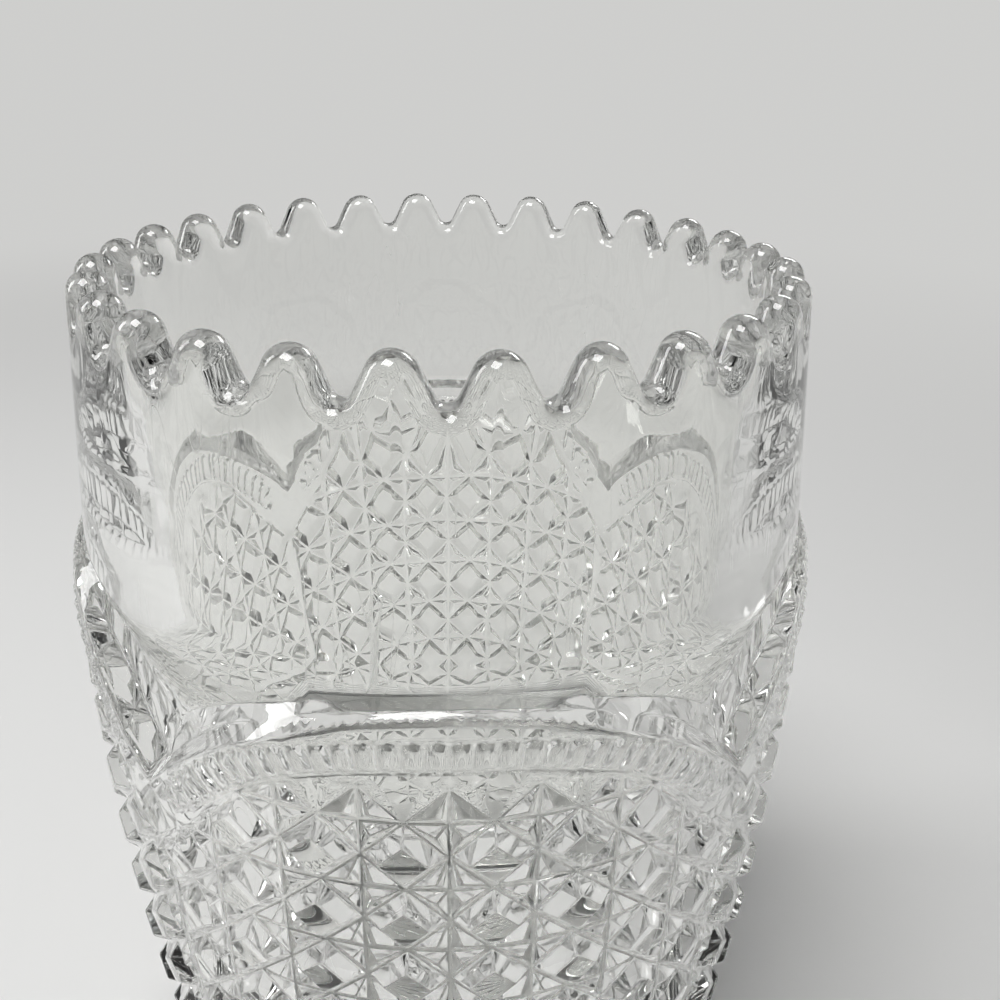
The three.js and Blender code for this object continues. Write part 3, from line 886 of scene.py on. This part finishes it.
for height in np.linspace(FOOT_WAIST_HEIGHT, row_height(MAP_BOTTOM), 5)[:-1]:
    swell = WAIST_SWELL * (height < WAIST_SWELL_TOP)
    rows.append(add_row(foot_u, foot_band_radius(height) + swell, height))
rows.append(shared_points(foot_edge))
weave(rows)
half_points = np.concatenate(sheet_points, axis=1)
half_triangles = np.concatenate(sheet_triangles)
print("half a panel:", half_points.shape[1], "points,", len(half_triangles), "triangles")

# %% [markdown]
# ## Normals from the function
# The pattern's normals are worked out, not averaged from the triangles, so a flat facet is shaded
# flat right up to its rounded edge. If the radius grows along u or v, the normal leans back by
# the slope, which a small step to either side measures.

# %% Normals of the outside
NORMAL_STEP = 0.003


def outer_normals(u, v):
    """Radial, sideways and upright parts of the unit normal: one, less the slope of the radius
    round the vase and up it, scaled to length one."""
    step = NORMAL_STEP
    radius = outer_radius(u, v)
    round_slope = (outer_radius(u + step, v) - outer_radius(u - step, v)) / (2 * step)
    up_slope = (outer_radius(u, v + step) - outer_radius(u, v - step)) / (2 * step)
    normal = np.stack(
        [np.ones_like(u), -round_slope / (radius * COLUMN_ANGLE), -up_slope / ROW_PITCH]
    )
    normal[1, (u == 0) | (u == HALF_PANEL)] = 0
    return normal / np.linalg.norm(normal, axis=0)


half_normals = np.zeros_like(half_points)
half_normals[:, : len(flat)] = outer_normals(map_u, map_v)
lean = math.acos(half_normals[0, : len(flat)].min())
print("steepest facet leans", round(math.degrees(lean)), "degrees")

# %% [markdown]
# ## Eight half panels
# Four panels have eight halves, and every other half is mirrored. Points on a shared line keep
# one number: the half panel that owns them is worked out from its own number, so the copies are
# joined by arithmetic and not by searching for doubles. The teeth of a pressed rim are never
# quite alike, so their heights wander by some tenths of a millimetre.

# %% Joining the copies
HALVES = 2 * PANELS
WANDER_BOTTOM, WANDER_SIZE, WANDER_LARGEST = 165, 0.13, 2.3
u, radius, height = half_points
count = half_points.shape[1]
numbers = np.arange(count)
copy_points, copy_normals, copy_triangles = [], [], []
for copy in range(HALVES):
    mirrored = copy % 2 == 1
    turn = -1 if mirrored else 1
    start = HALF_PANEL * (copy + 1) if mirrored else HALF_PANEL * copy
    azimuth = (start + turn * u) * COLUMN_ANGLE
    sine, cosine = np.sin(azimuth), np.cos(azimuth)
    radial, sideways, upright = half_normals
    sideways = turn * sideways
    copy_points.append(np.stack([radius * sine, -radius * cosine, height], axis=1))
    normal = [radial * sine + sideways * cosine, sideways * sine - radial * cosine, upright]
    copy_normals.append(np.stack(normal, axis=1))
    owner = np.full(count, copy)
    owner[u == 0] = copy if mirrored else (copy - 1) % HALVES
    owner[u == HALF_PANEL] = copy - 1 if mirrored else copy
    owner[radius == 0] = 0
    shared = owner * count + numbers
    order = half_triangles[:, ::-1] if mirrored else half_triangles
    copy_triangles.append(shared[order])
every_point = np.concatenate(copy_points)
every_normal = np.concatenate(copy_normals)
kept, faces = np.unique(np.concatenate(copy_triangles), return_inverse=True)
faces = faces.reshape(-1, 3)
points, normals = every_point[kept], every_normal[kept]
azimuth = np.arctan2(points[:, 0], -points[:, 1])
wander = (
    0.5 * np.sin(3 * azimuth + 1.1) + 0.8 * np.sin(11 * azimuth + 0.4) + np.sin(23 * azimuth + 2.0)
)
reach = np.clip((points[:, 2] - WANDER_BOTTOM) / (VASE_HEIGHT - WANDER_BOTTOM), 0, 1) ** 2
points[:, 2] -= reach * WANDER_SIZE * (wander + WANDER_LARGEST)
print("whole vase:", len(points), "points,", len(faces), "triangles")

# %% [markdown]
# ## The vase as a mesh
# The points go into Blender in metres. Before that the mesh is tested: on a closed surface every
# edge belongs to exactly two triangles, once in each direction. The outside gets its worked-out
# normals, and a normal of zero asks Blender to average its own, as on the bead and the bore.

# %% Building the mesh
SHARP_ANGLE = 32


def edge_faults(faces):
    """How many directed edges lack their opposite: zero on a closed surface."""
    ends = np.concatenate([faces[:, [0, 1]], faces[:, [1, 2]], faces[:, [2, 0]]]).astype(np.int64)
    size = ends.max() + 1
    there = ends[:, 0] * size + ends[:, 1]
    back = ends[:, 1] * size + ends[:, 0]
    return int((~np.isin(there, back)).sum()) + len(there) - len(np.unique(there))


def volume_of(points, faces):
    """A sixth of the sum of each triangle's triple product: positive if faces point outwards."""
    a, b, c = points[faces[:, 0]], points[faces[:, 1]], points[faces[:, 2]]
    return float(np.einsum("ij,ij->i", a, np.cross(b, c)).sum() / 6)


def new_object(name, data):
    """A new object at the origin, put into the scene."""
    thing = bpy.data.objects.new(name, data)
    bpy.context.scene.collection.objects.link(thing)
    return thing


print("open edges:", edge_faults(faces))
print("glass:", round(volume_of(points, faces) / 1000), "cubic centimetres")
vase_mesh = bpy.data.meshes.new("vase_glass")
vase_mesh.from_pydata((points / 1000).tolist(), [], faces.tolist())
vase_mesh.shade_smooth()
vase_mesh.set_sharp_from_angle(angle=math.radians(SHARP_ANGLE))
vase_mesh.normals_split_custom_set_from_vertices(normals.tolist())
vase = new_object("vase_glass", vase_mesh)
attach(vase, "root")
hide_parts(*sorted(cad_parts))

# %% [markdown]
# ## Helpers for shader nodes
# Each helper adds one node and joins it to the nodes before it, so that a material reads like the
# formula that it stands for.

# %% Nodes by name
def add_node(tree, kind, place, *numbered, **named):
    """A new node. An input, by its number or name, takes a plain value or is linked to another
    node's output, and any other name is an attribute."""
    node = tree.nodes.new(kind)
    node.location = place
    for name, value in (*named.items(), *enumerate(numbered)):
        if isinstance(name, str) and name not in node.inputs:
            setattr(node, name, value)
        elif isinstance(value, bpy.types.NodeSocket):
            tree.links.new(value, node.inputs[name])
        else:
            node.inputs[name].default_value = value
    return node


def math_node(tree, operation, place, *values):
    """The result of a Math node on up to three values."""
    return add_node(tree, "ShaderNodeMath", place, *values, operation=operation).outputs[0]


def noise_node(tree, place, vector, **values):
    """A noise texture read at a vector."""
    return add_node(tree, "ShaderNodeTexNoise", place, Vector=vector, **values).outputs["Fac"]


def ramp_node(tree, place, value, limits, ends=(0, 1), **named):
    """A Map Range node: the first end up to the lower limit, the second from the upper one."""
    node = add_node(tree, "ShaderNodeMapRange", place, value, *limits, *ends, **named)
    return node.outputs["Result"]


# %% [markdown]
# ## Clear pressed glass
# Soda glass bends light by an index of about 1.52 and is almost colourless, with a trace of straw
# yellow. What tells pressed glass from cut glass is its skin: the hot mould leaves it slightly
# wavy and pitted, and years of use leave fine scratches and a little haze. All of this is far too
# small to model, so the shader makes it. A soft noise for the waves and a fine one for the pits
# go into the bump. A noise stretched along a direction and cut to thin lines gives scratches, in
# patches, and where they run they roughen the surface, as an uneven haze does everywhere.

# %% Glass material
GLASS_INDEX = 1.52
GLASS_COLOUR = (0.978, 0.982, 0.965, 1)
SCRATCH_ROUGHNESS = 0.3
PIT_DEPTH = 0.004

glass = bpy.data.materials.new("clear_pressed_glass")
glass.use_nodes = True
tree = glass.node_tree
tree.nodes.clear()
where = add_node(tree, "ShaderNodeTexCoord", (-1500, 0)).outputs["Object"]


def scratches(level, turned, stretch, width):
    """Thin lines where a stretched noise passes its middle value: one in the middle of a line,
    and falling evenly to zero at half its width."""
    mapped = add_node(
        tree, "ShaderNodeMapping", (-1250, level), where, Rotation=turned, Scale=stretch
    )
    field = noise_node(tree, (-1000, level), mapped.outputs["Vector"], Scale=1.0, Detail=0.0)
    off = math_node(tree, "SUBTRACT", (-800, level), field, 0.5)
    off = math_node(tree, "ABSOLUTE", (-600, level), off)
    return ramp_node(tree, (-400, level), off, (0, width), ends=(1, 0))


upright = scratches(500, (0.25, 0.1, 0.4), (260, 260, 22), 0.006)
slanting = scratches(200, (0.9, 0.5, 0.2), (210, 210, 16), 0.005)
patches = noise_node(tree, (-800, -50), where, Scale=38.0, Detail=1.0)
patches = ramp_node(tree, (-600, -50), patches, (0.5, 0.62))
lines = math_node(tree, "MAXIMUM", (-200, 350), upright, slanting)
lines = math_node(tree, "MULTIPLY", (0, 250), lines, patches)
haze = noise_node(tree, (-400, -100), where, Scale=120.0, Detail=2.0)
haze = ramp_node(tree, (-200, 50), haze, (0.45, 0.75), ends=(0, 0.02))
rough = math_node(tree, "MULTIPLY_ADD", (250, 150), lines, SCRATCH_ROUGHNESS, haze)
skin = noise_node(tree, (-200, -300), where, Scale=55.0, Detail=1.5)
pits = noise_node(tree, (-200, -500), where, Scale=700.0, Detail=0.0)
heights = math_node(tree, "MULTIPLY_ADD", (150, -400), pits, PIT_DEPTH, skin)
bump = add_node(tree, "ShaderNodeBump", (450, -300), Strength=0.3, Distance=0.0006, Height=heights)
glass_values = {
    "Base Color": GLASS_COLOUR,
    "Transmission Weight": 1.0,
    "IOR": GLASS_INDEX,
    "Roughness": rough,
    "Normal": bump.outputs["Normal"],
}
shader = add_node(tree, "ShaderNodeBsdfPrincipled", (600, 0), **glass_values)
add_node(tree, "ShaderNodeOutputMaterial", (900, 0), shader.outputs["BSDF"])
vase_mesh.materials.append(glass)
print("glass material has", len(tree.nodes), "nodes")

# %% [markdown]
# ## A pale studio
# Glass has no look of its own: it shows its surroundings, bent. A low pale sweep all round gives
# the plain background. The room above it is dark, so that the facets have something dark to pick
# up, or the pattern would be lost in white.

# %% The sweep
FLOOR_REACH, FLOOR_CURVE = 1.4, 0.3
PAPER_COLOUR = (0.78, 0.78, 0.77, 1)


def lathe(name, profile, segments):
    """A profile of radius and height turned about the upright axis, with smooth faces."""
    profile = np.array(profile)
    angle = np.linspace(0, 2 * np.pi, segments, endpoint=False)
    radius, height = profile[:, :1], np.repeat(profile[:, 1:], segments, axis=1)
    rings = np.stack([radius * np.cos(angle), radius * np.sin(angle), height], axis=-1)
    number = np.arange(len(profile) * segments).reshape(len(profile), segments)
    low, high = number[:-1], number[1:]
    quads = np.stack([low, np.roll(low, -1, 1), np.roll(high, -1, 1), high], axis=-1)
    mesh = bpy.data.meshes.new(name)
    mesh.from_pydata(rings.reshape(-1, 3).tolist(), [], quads.reshape(-1, 4).tolist())
    mesh.shade_smooth()
    return new_object(name, mesh)


turn = np.linspace(0, np.pi / 2, 13)
sweep = [(0.0005, 0), (0.5, 0), (FLOOR_REACH, 0)]
sweep += [
    (FLOOR_REACH + FLOOR_CURVE * math.sin(t), FLOOR_CURVE * (1 - math.cos(t))) for t in turn[1:]
]
floor = lathe("pale_floor", sweep, 96)
paper = bpy.data.materials.new("pale_paper")
paper.use_nodes = True
paper_shader = paper.node_tree.nodes["Principled BSDF"]
paper_shader.inputs["Base Color"].default_value = PAPER_COLOUR
paper_shader.inputs["Roughness"].default_value = 0.9
floor.data.materials.append(paper)
print("sweep has", len(floor.data.polygons), "faces")

# %% [markdown]
# ## An even tone far away
# A floor that runs far back darkens as it leaves the lamps. Seen directly, in a reflection or
# through the glass, it turns into an even pale tone away from the vase. Near the vase it stays
# plain paper, so the shadow stays too.

# %% Paper that turns even
EVEN_COLOUR = (0.62, 0.62, 0.61, 1)
EVEN_LIMITS = (0.25, 1.1)

studio = paper.node_tree
path = add_node(studio, "ShaderNodeLightPath", (-800, 300))
seen = path.outputs["Is Camera Ray"]
for level, kind in ((300, "Is Glossy Ray"), (150, "Is Transmission Ray")):
    seen = math_node(studio, "MAXIMUM", (-550, level), seen, path.outputs[kind])
spot = add_node(studio, "ShaderNodeTexCoord", (-1100, 0)).outputs["Object"]
away = add_node(studio, "ShaderNodeVectorMath", (-850, 0), spot, operation="LENGTH")
away = away.outputs["Value"]
far = ramp_node(studio, (-600, 0), away, EVEN_LIMITS, interpolation_type="SMOOTHSTEP")
share = math_node(studio, "MULTIPLY", (-350, 150), seen, far)
even = add_node(studio, "ShaderNodeEmission", (-350, -100), Color=EVEN_COLOUR)
near, even = paper_shader.outputs["BSDF"], even.outputs["Emission"]
both = add_node(studio, "ShaderNodeMixShader", (-100, 100), share, near, even)
studio.links.new(both.outputs["Shader"], studio.nodes["Material Output"].inputs["Surface"])
print("paper material has", len(studio.nodes), "nodes")

# %% [markdown]
# ## Lamps and light paths
# Three soft lamps stand above, at the left and behind, and the room round them is almost dark.
# Light that enters the collar runs round inside its wall and turns back ten times or more before
# it leaves. With too few bounces allowed, it would be lost, and the wall would be black.

# %% Lamps, world and light paths
LAMP_TARGET = (0, 0, 0.1)
LAMPS = {
    "overhead_lamp": ((-0.25, -0.3, 1.2), (0.6, 0.5), 11),
    "left_lamp": ((-1.0, 0.1, 0.7), (0.25, 0.7), 4),
    "back_lamp": ((0.6, 1.0, 0.8), (0.5, 0.25), 4),
}
for name, (place, size, power) in LAMPS.items():
    lamp = bpy.data.lights.new(name, "AREA")
    lamp.shape = "RECTANGLE"
    lamp.size, lamp.size_y = size
    lamp.energy = power
    thing = new_object(name, lamp)
    thing.location = place
    aim = Vector(LAMP_TARGET) - Vector(place)
    thing.rotation_euler = aim.to_track_quat("-Z", "Y").to_euler()
world = bpy.data.worlds.new("studio")
world.use_nodes = True
background = world.node_tree.nodes["Background"].inputs
background["Color"].default_value = (0.9, 0.92, 0.95, 1)
background["Strength"].default_value = 0.02
bpy.context.scene.world = world
light_paths = bpy.context.scene.cycles
light_paths.max_bounces = 24
light_paths.glossy_bounces = 8
light_paths.transmission_bounces = 16
print(len(LAMPS), "lamps and the world are ready")

# %% [markdown]
# ## The photograph's camera
# The camera's place was found from the rim: its teeth lie on a circle, and how that circle
# flattens and its teeth crowd together gives the distance, height and tilt. The camera stands
# close above the front of the vase and looks down into it.

# %% Camera
PITCH, YAW, ROLL = 0.4584, 0.0600, -0.0210
CAMERA_PLACE = (0, -0.17379, 0.23598)
LENS, SENSOR = 35.05, 36.0
forward = Vector(
    (math.sin(YAW) * math.cos(PITCH), math.cos(YAW) * math.cos(PITCH), -math.sin(PITCH))
)
level_right = Vector((math.cos(YAW), -math.sin(YAW), 0))
level_up = level_right.cross(forward)
right = math.cos(ROLL) * level_right - math.sin(ROLL) * level_up
up = math.sin(ROLL) * level_right + math.cos(ROLL) * level_up
camera_data = bpy.data.cameras.new("photo_camera")
camera_data.lens, camera_data.sensor_width = LENS, SENSOR
camera_data.clip_start = 0.01
camera = new_object("photo_camera", camera_data)
turned = Matrix((right, up, -forward)).transposed().to_4x4()
camera.matrix_world = Matrix.Translation(CAMERA_PLACE) @ turned
bpy.context.scene.camera = camera
bpy.context.scene.view_settings.view_transform = "Standard"
print("camera at", tuple(round(c, 3) for c in camera.location))
